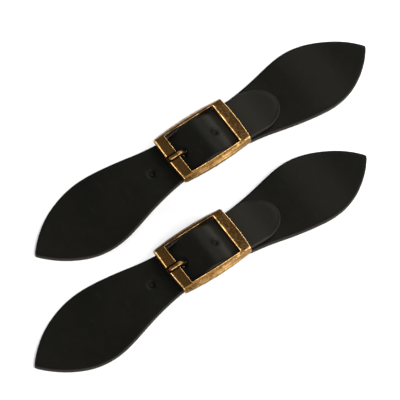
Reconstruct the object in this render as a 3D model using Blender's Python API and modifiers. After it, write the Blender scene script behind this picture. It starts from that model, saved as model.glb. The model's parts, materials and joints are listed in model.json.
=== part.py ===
"""A pair of leather tab closures, each a pointed billet leaf buckled to a pointed buckle leaf.

In its own frame a closure lies along X: its heel bar is at x = 0, its billet leaf points to -X and
its buckle leaf to +X. Z = 0 is the surface that it rests on. All sizes are in metres.
"""

import math

import bmesh
import bpy
from mathutils import Vector

# Places of the two closures: the second lies in echelon beside the first.
STEP_X = 0.0315
STEP_Y = 0.0447

# Leather
LEATHER = 0.0024
SKIVED = 0.0016
GAP = 0.0003
HEEL_LIFT = 0.0029
BILLET_LENGTH = 0.0909
TAB_LENGTH = 0.0898
BILLET_END_X = 0.0405
BILLET_LEAF_LENGTH = 0.074
TAB_LEAF_LENGTH = 0.070
BILLET_LEAF_HALF = 0.0177
TAB_LEAF_HALF = 0.01725
BILLET_NECK_HALF = 0.0108
TAB_NECK_HALF = 0.0113
STRAP_HALF = 0.0104
FOLD_HALF = 0.0102
END_ROUNDING = 0.013
# Curve handles at the leaves' points, as shares of the distance to the widest place and of its half width
BILLET_POINT = (0.176, 0.434)
TAB_POINT = (0.162, 0.446)
TAIL_END_X = 0.0175

# Holes in the strap and the slot for the prong
PUNCH_RADIUS = 0.0013
PRONG_HOLE_HALF_LENGTH = 0.00155
PRONG_HOLE_HALF_WIDTH = 0.0014
# How far the prong has pulled its hole over, at either face of the leather
PRONG_HOLE_LEAN = 0.0002
PUNCH_PITCH = 0.0176
PRONG_HOLE_X = -0.0096
SLOT_HALF = 0.0016
SLOT_TOP_X = 0.0048
SLOT_TAIL_X = 0.0036

# Buckle
BAR_RADIUS = 0.0015
BAR_Z = HEEL_LIFT + SKIVED + GAP + BAR_RADIUS
FRAME_HALF_LENGTH = 0.0180
FRAME_END_BOW = 0.0006
FRAME_HALF_WIDTH = 0.0127
FRAME_SIDE_BOW = 0.0011
WINDOW_HALF_LENGTH = 0.0131
WINDOW_HALF_WIDTH = 0.0108
WINDOW_CORNER = 0.0007
FRAME_CORNER = 0.0006
FRAME_BOTTOM = 0.0102
FRAME_THICKNESS = 0.0031
FRAME_EDGE = 0.0005
RAIL_DROP = 0.0019
NOTCH_HALF = 0.0014
NOTCH_FLOOR = 0.0115
LUG_INNER_Y = 0.0108
LUG_OUTER_Y = 0.0115
LUG_RADIUS = 0.0022
LUG_BORE = BAR_RADIUS + GAP
LUG_TOP = 0.0114
WEB_START_X = -0.0128
WEB_END_X = 0.0150
WEB_BOTTOM = 0.0080
FOLD_RADIUS = BAR_RADIUS + GAP + SKIVED / 2

# Prong
PRONG_RADIUS = 0.0010
EYE_RADIUS = 0.0028
EYE_BORE = BAR_RADIUS + GAP
EYE_HALF_WIDTH = 0.0011

# Rivet
RIVET_X = 0.0125
RIVET_HEAD = 0.0028
RIVET_STEM = 0.0016
RIVET_BORE = 0.00125
RIVET_SHANK = 0.00095
RIVET_HOLE = RIVET_STEM + GAP
RIVET_SEAT = RIVET_HEAD + GAP
CAP_SEAT_Z = HEEL_LIFT + 0.0031
POST_SEAT_Z = HEEL_LIFT + 0.00095

# Height of the billet's underside and of the buckle leaf's underside, as (x, z) knots. The stiff
# leather arches off the surface towards the buckle.
FOLD_Z = HEEL_LIFT + SKIVED + GAP
STRAP_LIFT = LEATHER + GAP
BILLET_REST = (
    (-0.0720, 0.0),
    (-0.0300, 0.0070),
    (-0.0177, FOLD_Z + STRAP_LIFT),
    (-0.0131, FOLD_Z + STRAP_LIFT),
    (0.0, 0.0118),
    (0.0131, FOLD_Z + STRAP_LIFT),
    (0.0177, FOLD_Z + STRAP_LIFT),
    (0.0420, 0.0029 + STRAP_LIFT),
)
TAB_REST = ((0.0175, FOLD_Z), (0.0420, 0.0029), (0.0500, 0.0029), (0.0770, 0.0))
SKIVE_START_X = 0.0160
SKIVE_END_X = 0.0065

# Spacing of the cross-sections along a strip where it slopes gently and steeply
GENTLE_PITCH = 0.0045
STEEP_PITCH = 0.0022
STEEP_SLOPE = 0.2


def clear_scene():
    for obj in list(bpy.data.objects):
        bpy.data.objects.remove(obj)


def make_material(name, colour, roughness, metallic):
    material = bpy.data.materials.new(name)
    material.use_nodes = True
    shader = material.node_tree.nodes["Principled BSDF"]
    shader.inputs["Base Color"].default_value = (*colour, 1.0)
    shader.inputs["Roughness"].default_value = roughness
    shader.inputs["Metallic"].default_value = metallic
    return material


def smooth(t):
    t = min(max(t, 0.0), 1.0)
    return t * t * (3.0 - 2.0 * t)


def eased(x, knots):
    """Value at x of a curve that runs level at each knot."""
    if x <= knots[0][0]:
        return knots[0][1]
    for (x0, z0), (x1, z1) in zip(knots, knots[1:]):
        if x <= x1:
            return z0 + (z1 - z0) * smooth((x - x0) / (x1 - x0))
    return knots[-1][1]


def steps(start, stop, count):
    """Evenly spaced values after start, up to and including stop."""
    return [start + (stop - start) * i / count for i in range(1, count + 1)]


def cubic(p0, p1, p2, p3, count):
    """Points on a cubic Bezier curve after its start."""
    points = []
    for t in steps(0.0, 1.0, count):
        weights = ((1 - t) ** 3, 3 * t * (1 - t) ** 2, 3 * t * t * (1 - t), t**3)
        x = sum(w * p[0] for w, p in zip(weights, (p0, p1, p2, p3)))
        y = sum(w * p[1] for w, p in zip(weights, (p0, p1, p2, p3)))
        points.append((x, y))
    return points


def arc(cx, cy, radius, start, stop, count):
    """Points on an arc after its start, with angles in degrees."""
    return [
        (cx + radius * math.cos(math.radians(a)), cy + radius * math.sin(math.radians(a)))
        for a in steps(start, stop, count)
    ]


# ---------------------------------------------------------------- leather strips


def leaf_edge(length, half, neck_half, point):
    """Half outline of a pointed leaf, from its tip to its neck."""
    widest = 0.44 * length + 0.0015
    tip = (0.0, 0.0)
    crest = (widest, half)
    neck = (length, neck_half)
    ogive = cubic(tip, (point[0] * widest, point[1] * half), (0.53 * widest, half), crest, 9)
    waist = cubic(crest, (widest + 0.011, half), (length - 0.016, 1.14 * neck_half), neck, 8)
    return [tip] + ogive + waist


def mirrored_outline(edge):
    """Closed outline from a half outline that starts and ends on the centre line."""
    return edge + [(x, -y) for x, y in reversed(edge[1:-1])]


def path_of(points, thicknesses, outward):
    """A strip's centre line: for each point, (distance, point, vector across the thickness)."""
    points = [Vector(p) for p in points]
    path = []
    distance = 0.0
    for i, point in enumerate(points):
        before = points[max(i - 1, 0)]
        after = points[min(i + 1, len(points) - 1)]
        if i:
            distance += (point - before).length
        heading = (after - before).normalized()
        across = Vector((-heading.y, heading.x)) * outward
        path.append((distance, point, across * thicknesses[i]))
    return path


def on_path(path, distance):
    """The point and the thickness vector at a distance along a path."""
    for (d0, p0, v0), (d1, p1, v1) in zip(path, path[1:]):
        if distance <= d1:
            t = max(distance - d0, 0.0) / (d1 - d0)
            return p0.lerp(p1, t), v0.lerp(v1, t)
    return path[-1][1], path[-1][2]


def distance_at(path, x, after=0.0):
    """Distance along a path of its first crossing of x past a given distance."""
    for (d0, p0, _), (d1, p1, _) in zip(path, path[1:]):
        if d1 > after and (p0.x - x) * (p1.x - x) <= 0 and p0.x != p1.x:
            return d0 + (d1 - d0) * (x - p0.x) / (p1.x - p0.x)
    return path[-1][0]


def curve_to_mesh(curve_object, name):
    """Replaces a curve object with a welded mesh object of the same shape."""
    graph = bpy.context.evaluated_depsgraph_get()
    mesh = bpy.data.meshes.new_from_object(curve_object.evaluated_get(graph))
    mesh.name = name
    welded = bmesh.new()
    welded.from_mesh(mesh)
    bmesh.ops.remove_doubles(welded, verts=welded.verts, dist=1e-7)
    bmesh.ops.recalc_face_normals(welded, faces=welded.faces)
    welded.to_mesh(mesh)
    welded.free()
    solid = bpy.data.objects.new(name, mesh)
    solid.matrix_world = curve_object.matrix_world
    bpy.data.objects.remove(curve_object)
    return solid


def flat_solid(name, outlines, half_thickness, edge=0.0):
    """A flat outline with holes, extruded both ways from Z = 0."""
    curve = bpy.data.curves.new(name, "CURVE")
    curve.dimensions = "2D"
    curve.fill_mode = "BOTH"
    curve.extrude = half_thickness - edge
    curve.bevel_depth = edge
    curve.bevel_resolution = 1
    curve.offset = -edge
    for outline in outlines:
        spline = curve.splines.new("POLY")
        spline.points.add(len(outline) - 1)
        for point, (x, y) in zip(spline.points, outline):
            point.co = (x, y, 0.0, 1.0)
        spline.use_cyclic_u = True
    holder = bpy.data.objects.new(name, curve)
    bpy.context.scene.collection.objects.link(holder)
    bpy.context.view_layer.update()
    return curve_to_mesh(holder, name)


def leather_strip(name, outlines, path, leaning_hole=None):
    """Cuts a strip flat, leans one of its holes over, then bends it along its path."""
    strip = flat_solid(name, outlines, 0.5)
    shape = bmesh.new()
    shape.from_mesh(strip.data)
    if leaning_hole is not None:
        for vert in shape.verts:
            if math.hypot(vert.co.x - leaning_hole, vert.co.y) < 2 * PRONG_HOLE_HALF_LENGTH:
                vert.co.x -= math.copysign(PRONG_HOLE_LEAN, vert.co.z)
    for distance, _, _ in path[1:-1]:
        bmesh.ops.bisect_plane(
            shape,
            geom=shape.verts[:] + shape.edges[:] + shape.faces[:],
            plane_co=(distance, 0.0, 0.0),
            plane_no=(1.0, 0.0, 0.0),
            dist=2e-5,
        )
    for vert in shape.verts:
        point, across = on_path(path, vert.co.x)
        place = point + across * vert.co.z
        vert.co = (place.x, vert.co.y, place.y)
    bmesh.ops.recalc_face_normals(shape, faces=shape.faces)
    shape.to_mesh(strip.data)
    shape.free()
    return strip


def between_knots(knots, last_x):
    """Stations from the first knot to last_x, closer together where the curve is steeper."""
    stations = [knots[0][0]]
    for (x0, z0), (x1, z1) in zip(knots, knots[1:]):
        slope = abs((z1 - z0) / (x1 - x0))
        pitch = STEEP_PITCH if slope > STEEP_SLOPE else GENTLE_PITCH
        stations += steps(x0, x1, max(2, round(abs(x1 - x0) / pitch)))
    return [x for x in stations if x < last_x - 1e-4] + [last_x]


def circle(x, y, radius, count=20):
    return arc(x, y, radius, 0.0, 360.0, count)


def slot(x0, x1, half):
    """A straight slot with round ends."""
    return arc(x0 + half, 0.0, half, 90.0, 270.0, 6) + arc(x1 - half, 0.0, half, -90.0, 90.0, 6)


def billet_path():
    stations = [-BILLET_LENGTH] + between_knots(BILLET_REST, BILLET_END_X)
    points = [(x, eased(x, BILLET_REST) + LEATHER / 2) for x in stations]
    return path_of(points, [LEATHER] * len(points), 1.0)


def billet_tab():
    """The pointed leaf that runs on as the strap, with its three punched holes."""
    path = billet_path()
    length = path[-1][0]
    edge = leaf_edge(BILLET_LEAF_LENGTH, BILLET_LEAF_HALF, BILLET_NECK_HALF, BILLET_POINT)
    neck = edge[-1]
    strap = (BILLET_LEAF_LENGTH + 0.006, STRAP_HALF)
    edge += cubic(neck, (neck[0] + 0.002, neck[1] - 0.0002), (strap[0] - 0.002, strap[1]), strap, 4)
    turn = length - END_ROUNDING
    edge += [
        (turn + END_ROUNDING * math.sin(a), STRAP_HALF * math.cos(a))
        for a in [0.0] + steps(0.0, math.pi / 2, 9)
    ]
    edge[-1] = (length, 0.0)
    prong_hole = distance_at(path, PRONG_HOLE_X)
    reach = PRONG_HOLE_HALF_LENGTH
    holes = [slot(prong_hole - reach, prong_hole + reach, PRONG_HOLE_HALF_WIDTH)]
    holes += [circle(prong_hole + side * PUNCH_PITCH, 0.0, PUNCH_RADIUS) for side in (-1, 1)]
    return leather_strip("billet_tab", [mirrored_outline(edge)] + holes, path, prong_hole)


def tab_path():
    """From the leaf's tip, over the tail, round the heel bar and back underneath."""
    stations = between_knots(TAB_REST, TAB_LENGTH)[::-1]
    stations += [SKIVE_START_X] + steps(SKIVE_START_X, SKIVE_END_X, 3)
    points = []
    thicknesses = []
    for x in stations:
        share = (x - SKIVE_END_X) / (SKIVE_START_X - SKIVE_END_X)
        thickness = SKIVED + (LEATHER - SKIVED) * smooth(share)
        points.append((x, eased(x, TAB_REST) + thickness / 2))
        thicknesses.append(thickness)
    lift = Vector((math.cos(math.radians(60)), math.sin(math.radians(60))))
    start = (FOLD_RADIUS * lift.x, BAR_Z + FOLD_RADIUS * lift.y)
    low = points[-1]
    reach = 0.0022
    bend = (start[0] + reach * lift.y, start[1] - reach * lift.x)
    points += cubic(low, (low[0] - reach, low[1]), bend, start, 5)
    points += arc(0.0, BAR_Z, FOLD_RADIUS, 60.0, 270.0, 12)
    points.append((TAIL_END_X, HEEL_LIFT + SKIVED / 2))
    thicknesses += [SKIVED] * (len(points) - len(thicknesses))
    return path_of(points, thicknesses, -1.0)


def buckle_tab():
    """The pointed leaf whose neck is folded round the heel bar, with the prong's slot."""
    path = tab_path()
    length = path[-1][0]
    fold = distance_at(path, 0.0)
    edge = leaf_edge(TAB_LEAF_LENGTH, TAB_LEAF_HALF, TAB_NECK_HALF, TAB_POINT)
    neck = edge[-1]
    narrow = (neck[0] + 0.0055, FOLD_HALF)
    edge += cubic(neck, (neck[0] + 0.002, neck[1] - 0.0002), (narrow[0] - 0.002, FOLD_HALF), narrow, 4)
    edge += [(length, FOLD_HALF), (length, 0.0)]
    under = fold + 0.001
    openings = [
        slot(distance_at(path, SLOT_TOP_X), distance_at(path, SLOT_TAIL_X, under), SLOT_HALF),
        circle(distance_at(path, RIVET_X), 0.0, RIVET_HOLE),
        circle(distance_at(path, RIVET_X, under), 0.0, RIVET_HOLE),
    ]
    outline = edge[:-1] + [(x, -y) for x, y in reversed(edge[1:-1])]
    return leather_strip("buckle_tab", [outline] + openings, path)


# ---------------------------------------------------------------- metal parts


def primitive(name, maker, **settings):
    """A mesh object from one of bmesh's primitives."""
    shape = bmesh.new()
    maker(shape, **settings)
    mesh = bpy.data.meshes.new(name)
    shape.to_mesh(mesh)
    shape.free()
    return bpy.data.objects.new(name, mesh)


def rod_along_y(name, radius, y0, y1, segments=28):
    """A cylinder about the Y axis, moved in its mesh so that its object stays on that axis."""
    rod = primitive(
        name,
        bmesh.ops.create_cone,
        cap_ends=True,
        segments=segments,
        radius1=radius,
        radius2=radius,
        depth=y1 - y0,
    )
    for vert in rod.data.vertices:
        x, y, z = vert.co
        vert.co = (x, z + (y0 + y1) / 2, -y)
    return rod


def box(name, low, high):
    block = primitive(name, bmesh.ops.create_cube, size=1.0)
    for vert in block.data.vertices:
        vert.co = [lo + (hi - lo) * (c + 0.5) for c, lo, hi in zip(vert.co, low, high)]
    return block


def turned(name, profile):
    """A turned solid from the half outline of its section, run down its outer side."""
    mesh = bpy.data.meshes.new(name)
    mesh.from_pydata(
        [(r, 0.0, z) for r, z in profile],
        [(i, i + 1) for i in range(len(profile) - 1)],
        [],
    )
    solid = bpy.data.objects.new(name, mesh)
    screw = solid.modifiers.new("turn", "SCREW")
    screw.steps = 28
    screw.render_steps = 28
    screw.use_merge_vertices = True
    screw.merge_threshold = 1e-6
    return solid


def frame_outline():
    """Barrel outline with slightly bowed ends and rounded corners."""
    bow = [i / 8 for i in range(-7, 8)]
    right = [(FRAME_HALF_LENGTH + FRAME_END_BOW * (1 - v * v), v * FRAME_HALF_WIDTH) for v in bow]
    top = [(-v * FRAME_HALF_LENGTH, FRAME_HALF_WIDTH + FRAME_SIDE_BOW * (1 - v * v)) for v in bow]
    corner_x = FRAME_HALF_LENGTH - FRAME_CORNER
    turn = arc(corner_x, FRAME_HALF_WIDTH - FRAME_CORNER, FRAME_CORNER, 0.0, 90.0, 4)[:-1]
    half = right + turn + top
    left_turn = [(-x, y) for x, y in reversed(turn)]
    left = [(-x, -y) for x, y in half]
    return half + left_turn + left + [(-x, -y) for x, y in left_turn]


def window_outline():
    """Rectangle with slightly rounded corners."""
    points = []
    for side_x, side_y, start in ((1, 1, 0.0), (-1, 1, 90.0), (-1, -1, 180.0), (1, -1, 270.0)):
        centre_x = side_x * (WINDOW_HALF_LENGTH - WINDOW_CORNER)
        centre_y = side_y * (WINDOW_HALF_WIDTH - WINDOW_CORNER)
        # Starting a step early puts the corner's first point exactly at its start.
        points += arc(centre_x, centre_y, WINDOW_CORNER, start - 30.0, start + 90.0, 4)
    return points


def buckle_frame():
    """Cast frame: flat end bars, side rails that slope away outwards. Z = 0 at the heel bar."""
    frame = flat_solid(
        "buckle_frame", [frame_outline(), window_outline()], FRAME_THICKNESS / 2, FRAME_EDGE
    )
    lift = FRAME_BOTTOM + FRAME_THICKNESS / 2 - BAR_Z
    for vert in frame.data.vertices:
        if vert.co.z > 0:
            outward = (abs(vert.co.y) - WINDOW_HALF_WIDTH) / (FRAME_HALF_WIDTH - WINDOW_HALF_WIDTH)
            vert.co.z -= RAIL_DROP * smooth(outward)
        vert.co.z += lift
    return frame


def lug(name, side):
    """Tongue under a side rail that carries one end of the heel bar."""
    low, high = sorted((side * LUG_INNER_Y, side * LUG_OUTER_Y))
    eye = rod_along_y(name, LUG_RADIUS, low, high)
    shape = bmesh.new()
    shape.from_mesh(eye.data)
    for vert in shape.verts:
        if vert.co.z > 1e-5:
            vert.co.z += LUG_TOP - BAR_Z - LUG_RADIUS
    shape.to_mesh(eye.data)
    shape.free()
    return eye


def web(name, side):
    """Thin wall under a side rail that stiffens it from end bar to end bar."""
    low, high = sorted((side * LUG_INNER_Y, side * LUG_OUTER_Y))
    bottom = WEB_BOTTOM - BAR_Z
    top = LUG_TOP - BAR_Z
    return box(name, (WEB_START_X, low, bottom), (WEB_END_X, high, top))


def prong_arm():
    """Round wire that runs under the strap, up through its hole and over the frame's bar."""
    route = (
        (-0.0010, 0.0081),
        (-0.0045, 0.0074),
        (-0.0074, 0.0070),
        (-0.0089, 0.0082),
        (-0.0109, 0.0118),
        (-0.0127, 0.0130),
        (-0.0153, 0.0130),
        (-0.0180, 0.0128),
    )
    curve = bpy.data.curves.new("prong_arm", "CURVE")
    curve.dimensions = "3D"
    curve.bevel_depth = PRONG_RADIUS
    curve.bevel_resolution = 3
    curve.resolution_u = 4
    curve.use_fill_caps = True
    spline = curve.splines.new("BEZIER")
    spline.bezier_points.add(len(route) - 1)
    for knot, (x, z) in zip(spline.bezier_points, route):
        knot.co = (x, 0.0, z - BAR_Z)
        knot.handle_left_type = "AUTO"
        knot.handle_right_type = "AUTO"
    spline.bezier_points[-1].radius = 0.75
    holder = bpy.data.objects.new("prong_arm", curve)
    bpy.context.scene.collection.objects.link(holder)
    bpy.context.view_layer.update()
    return curve_to_mesh(holder, "prong_arm")


# ---------------------------------------------------------------- assembly


class Closure:
    """Builds one closure's objects round its two empties."""

    def __init__(self, suffix, centre, parts, cutters, materials):
        self.suffix = suffix
        self.parts = parts
        self.cutters = cutters
        self.materials = materials
        self.base = self.empty("closure_" + suffix, centre, None)
        self.heel_axis = self.empty("heel_axis_" + suffix, (0.0, 0.0, BAR_Z), self.base)

    def empty(self, name, place, parent):
        marker = bpy.data.objects.new(name, None)
        marker.location = place
        marker.parent = parent
        self.parts.objects.link(marker)
        return marker

    def place(self, solid, name, material, parent, location=(0.0, 0.0, 0.0)):
        solid.name = f"{name}_{self.suffix}"
        solid.data.materials.clear()
        solid.data.materials.append(self.materials[material])
        solid.location = location
        solid.parent = parent
        self.parts.objects.link(solid)
        solid.data.shade_smooth()
        solid.data.set_sharp_from_angle(angle=math.radians(35))
        return solid

    def combine(self, target, tool, operation, location=(0.0, 0.0, 0.0)):
        """Adds or cuts a helper shape that shares the target's parent."""
        tool.name = f"{tool.name}_{self.suffix}"
        tool.parent = target.parent
        tool.location = location
        tool.hide_render = True
        tool.display_type = "WIRE"
        self.cutters.objects.link(tool)
        modifier = target.modifiers.new(operation.lower(), "BOOLEAN")
        modifier.operation = operation
        modifier.object = tool
        modifier.solver = "EXACT"

    def build(self):
        self.place(billet_tab(), "billet_tab", "leather", self.base)
        self.build_tab()
        self.build_rivet()
        self.build_frame()
        self.place(
            rod_along_y("heel_bar", BAR_RADIUS, -LUG_OUTER_Y, LUG_OUTER_Y),
            "heel_bar",
            "steel",
            self.heel_axis,
        )
        self.build_prong()

    def build_tab(self):
        tab = self.place(buckle_tab(), "buckle_tab", "leather", self.base)
        depth = 0.003
        seats = (("cap_seat", CAP_SEAT_Z + depth / 2), ("post_seat", POST_SEAT_Z - depth / 2))
        for name, height in seats:
            seat = primitive(
                name,
                bmesh.ops.create_cone,
                cap_ends=True,
                segments=28,
                radius1=RIVET_SEAT,
                radius2=RIVET_SEAT,
                depth=depth,
            )
            self.combine(tab, seat, "DIFFERENCE", (RIVET_X, 0.0, height))

    def build_rivet(self):
        cap = turned(
            "rivet_cap",
            [
                (0.0, 0.00430),
                (0.0012, 0.00422),
                (0.0022, 0.00400),
                (RIVET_HEAD, 0.00372),
                (RIVET_HEAD, 0.00342),
                (RIVET_STEM, 0.00342),
                (RIVET_STEM, 0.00100),
                (RIVET_BORE, 0.00100),
                (RIVET_BORE, 0.00335),
                (0.0, 0.00335),
            ],
        )
        post = turned(
            "rivet_post",
            [
                (0.0, 0.00305),
                (RIVET_SHANK, 0.00305),
                (RIVET_SHANK, 0.00065),
                (RIVET_HEAD, 0.00065),
                (RIVET_HEAD, 0.00025),
                (0.0024, 0.00008),
                (0.0, 0.00008),
            ],
        )
        self.place(cap, "rivet_cap", "brass", self.base, (RIVET_X, 0.0, HEEL_LIFT))
        self.place(post, "rivet_post", "brass", self.base, (RIVET_X, 0.0, HEEL_LIFT))

    def build_frame(self):
        frame = self.place(buckle_frame(), "buckle_frame", "brass", self.heel_axis)
        for name, side in (("far", 1), ("near", -1)):
            self.combine(frame, web(name + "_web", side), "UNION")
            self.combine(frame, lug(name + "_lug", side), "UNION")
        bore = rod_along_y("heel_bore", LUG_BORE, -2 * LUG_OUTER_Y, 2 * LUG_OUTER_Y)
        self.combine(frame, bore, "DIFFERENCE")
        notch = box(
            "prong_notch",
            (-2 * FRAME_HALF_LENGTH, -NOTCH_HALF, NOTCH_FLOOR - BAR_Z),
            (-0.5 * FRAME_HALF_LENGTH, NOTCH_HALF, 2 * FRAME_BOTTOM),
        )
        self.combine(frame, notch, "DIFFERENCE")

    def build_prong(self):
        eye = rod_along_y("prong", EYE_RADIUS, -EYE_HALF_WIDTH, EYE_HALF_WIDTH)
        prong = self.place(eye, "prong", "brass", self.heel_axis)
        self.combine(prong, prong_arm(), "UNION")
        bore = rod_along_y("prong_bore", EYE_BORE, -2 * EYE_HALF_WIDTH, 2 * EYE_HALF_WIDTH)
        self.combine(prong, bore, "DIFFERENCE")


def main():
    clear_scene()
    parts = bpy.data.collections.new("tab_closure_pair")
    cutters = bpy.data.collections.new("cutters")
    bpy.context.scene.collection.children.link(parts)
    bpy.context.scene.collection.children.link(cutters)
    materials = {
        "leather": make_material("black_leather", (0.012, 0.012, 0.011), 0.55, 0.0),
        "brass": make_material("antique_brass", (0.22, 0.12, 0.04), 0.38, 1.0),
        "steel": make_material("bar_steel", (0.35, 0.33, 0.30), 0.40, 1.0),
    }
    middle = (BILLET_LENGTH - TAB_LENGTH) / 2
    for suffix, side in (("a", 1), ("b", -1)):
        centre = (middle + side * STEP_X / 2, side * STEP_Y / 2, 0.0)
        Closure(suffix, centre, parts, cutters, materials).build()
    bpy.context.view_layer.update()


main()
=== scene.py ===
"""Looks of a pair of leather tab closures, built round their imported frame.

Each closure is modelled in its own coordinates: its heel bar's axis is at x = 0, its billet leaf
points to -X, its buckle leaf to +X, and z = 0 is the surface that it rests on. All sizes are in metres.
"""

import json
import math

import bmesh
import bpy
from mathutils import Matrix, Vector, geometry, noise


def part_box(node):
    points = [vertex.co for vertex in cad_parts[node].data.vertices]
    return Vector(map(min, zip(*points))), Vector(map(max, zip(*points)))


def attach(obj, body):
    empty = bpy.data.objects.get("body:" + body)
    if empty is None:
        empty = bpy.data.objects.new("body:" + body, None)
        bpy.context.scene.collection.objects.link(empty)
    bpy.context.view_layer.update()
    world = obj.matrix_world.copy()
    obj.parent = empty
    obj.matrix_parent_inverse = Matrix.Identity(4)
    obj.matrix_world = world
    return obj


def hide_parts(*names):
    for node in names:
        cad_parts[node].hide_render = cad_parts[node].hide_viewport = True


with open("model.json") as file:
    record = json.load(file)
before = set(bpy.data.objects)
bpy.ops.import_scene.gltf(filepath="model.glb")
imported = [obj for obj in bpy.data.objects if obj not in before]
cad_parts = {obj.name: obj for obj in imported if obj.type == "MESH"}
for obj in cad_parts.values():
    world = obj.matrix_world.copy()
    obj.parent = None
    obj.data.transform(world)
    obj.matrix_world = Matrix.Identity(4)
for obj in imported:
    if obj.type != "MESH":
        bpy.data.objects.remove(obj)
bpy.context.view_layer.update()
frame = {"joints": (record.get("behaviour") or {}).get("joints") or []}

# Leather strips, as the frame's solids have them, apart from rounded edges and a snugger prong hole
LEATHER = 0.0024
SKIVED = 0.0016
GAP = 0.0003
HEEL_LIFT = 0.0029
BILLET_LEAF_LENGTH = 0.074
TAB_LEAF_LENGTH = 0.070
BILLET_NECK_HALF = 0.0108
TAB_NECK_HALF = 0.0113
STRAP_HALF = 0.0104
FOLD_HALF = 0.0102
END_ROUNDING = 0.013
# Curve handles at the leaves' points, as shares of the distance to the widest place and of its half width
BILLET_POINT = (0.176, 0.434)
TAB_POINT = (0.162, 0.446)
TAIL_END_X = 0.0175
TAIL_ROUNDING = 0.0015
TIP_ROUNDING = 0.0008
# Edge of a leaf: where it is widest, as a share of its length and a fixed part, and its curve handles
WIDEST_SHARE = 0.44
WIDEST_MORE = 0.0015
CREST_SHARE = 0.53
CREST_HANDLE = 0.011
WAIST_HANDLE = 0.016
WAIST_FULLNESS = 1.14
NECK_HANDLE = 0.002
NECK_SLOPE = 0.0002
# Lengths over which the necks narrow to the strap and to the fold
STRAP_TURN = 0.006
FOLD_TURN = 0.0055
SLOT_HALF = 0.0016
SLOT_TOP_X = 0.0048
SLOT_TAIL_X = 0.0036
FOLD_Z = HEEL_LIFT + SKIVED + GAP
STRAP_LIFT = LEATHER + GAP
BILLET_REST = (
    (-0.0720, 0.0),
    (-0.0300, 0.0070),
    (-0.0177, FOLD_Z + STRAP_LIFT),
    (-0.0131, FOLD_Z + STRAP_LIFT),
    (0.0, 0.0118),
    (0.0131, FOLD_Z + STRAP_LIFT),
    (0.0177, FOLD_Z + STRAP_LIFT),
    (0.0420, 0.0029 + STRAP_LIFT),
)
TAB_REST = ((0.0175, FOLD_Z), (0.0420, 0.0029), (0.0500, 0.0029), (0.0770, 0.0))
SKIVE_START_X = 0.0160
SKIVE_END_X = 0.0065
# Where the neck meets its round about the bar, in degrees, and the length of that bend's curve handles
FOLD_START = 60.0
FOLD_HANDLE = 0.0022

# Holes in the strap. A taper is how far a hole narrows at the flesh side, most of it close to that side.
PUNCH_RADIUS = 0.0013
PUNCH_PITCH = 0.0176
PUNCH_TAPER = 0.0017
PRONG_HOLE_X = -0.0096
PRONG_HOLE_HALF_LENGTH = 0.00143
PRONG_HOLE_HALF_WIDTH = 0.0012
PRONG_HOLE_TAPER = 0.0003
TAPER_POWER = 6
# How far the prong has pulled its hole over at either face, fading out between two distances from it
PRONG_HOLE_LEAN = 0.0002
LEAN_INNER = 0.0020
LEAN_OUTER = 0.0045

# Relief of the grain side. The rings round the holes are given as (distance out, spread, height), from
# a punched hole's edge or the prong hole's middle.
PUNCH_RISE = (0.0016, 0.0006, 0.00016)
PUNCH_DIP = (0.0, 0.0010, -0.00050)
PRONG_PUCKER = (0.0034, 0.0007, 0.00018)
PUCKER_FADE = 0.003
STRAP_CROWN = 0.00010
CROWN_START_X = -0.013
CROWN_FADE = 0.004
# The strap's end slopes off by this much, starting at this share of the way out to its rounded edge
END_BEVEL = 0.0008
END_BEVEL_START = 0.80
END_BEVEL_FADE = 0.003
# Waves of the leaves, as (waves per metre along, across, shift of the pattern, height), and where they begin
WAVES = ((38.0, 55.0, 0.0, 0.00022), (120.0, 150.0, 7.0, 0.00005))
BILLET_WAVE_X = -0.030
TAB_WAVE_X = 0.034
WAVE_FADE = 0.02
# How far the strap is painted paler, as (x, share) knots: painted sheen on its right part, with rubbing most
# where the frame's keeper end bears on it
STRAP_RUBBING_AND_SHEEN = ((0.0045, 0.0), (0.0095, 1.0), (0.014, 1.0), (0.017, 0.5), (0.024, 0.5), (0.034, 0.175))

# Mesh of the leather
GRID = 0.00125
GRID_CLEARANCE = 0.62 * GRID
PATH_STEP = 0.0005
OUTLINE_STEP = 0.0011
HOLE_STEP = 0.00055
# Rings of points round a punched hole, as (distance from the hole, number of points)
HOLE_RINGS = ((0.0009, 26), (0.0015, 26), (0.0023, 28))
# Rows round a cut edge, as (distance in from the edge, share of the half thickness, how much it is cut edge)
EDGE_ROWS = (
    (0.00045, -1.0, 0.0),
    (0.00012, -0.93, 0.6),
    (0.0, -0.72, 1.0),
    (0.0, 0.10, 1.0),
    (0.00006, 0.55, 1.0),
    (0.00020, 0.86, 0.7),
    (0.00045, 1.0, 0.0),
)
# How pale the wall of a hole is beside the outer cut edge. It is kept dark as painted shade inside the holes
HOLE_SHADED_PALENESS = 0.15

# Buckle
BAR_RADIUS = 0.0015
FRAME_HALF_LENGTH = 0.0180
FRAME_END_BOW = 0.0006
FRAME_HALF_WIDTH = 0.0127
FRAME_SIDE_BOW = 0.0011
FRAME_CORNER = 0.0007
WINDOW_HALF_LENGTH = 0.0131
WINDOW_HALF_WIDTH = 0.0108
WINDOW_CORNER = 0.0007
FRAME_BOTTOM = 0.0102
FRAME_TOP = 0.0133
RAIL_DROP = 0.0023
RAIL_POWER = 1.9
RIM_WIDTH = 0.00055
RIM_HEIGHT = 0.00013
LIP = 0.00022
CHAMFER = 0.00025
NOTCH_HALF = 0.0014
NOTCH_FLOOR = 0.0115
# The notch's walls rise by this much over a lip's width, and its edges are meshed finely as far as this
NOTCH_WALL = 0.0016
NOTCH_REACH = 1.5 * NOTCH_HALF
LUG_INNER_Y = 0.0108
LUG_OUTER_Y = 0.0115
LUG_RADIUS = 0.0022
LUG_BORE = BAR_RADIUS + GAP
LUG_TOP = 0.0114
LUG_SOFT = 0.00018
WEB_START_X = -0.0128
WEB_END_X = 0.0150
WEB_BOTTOM = 0.0080
WEB_SOFT = 0.00015
BAR_SOFT = 0.00035
BORE_SOFT = 0.0002
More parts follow.
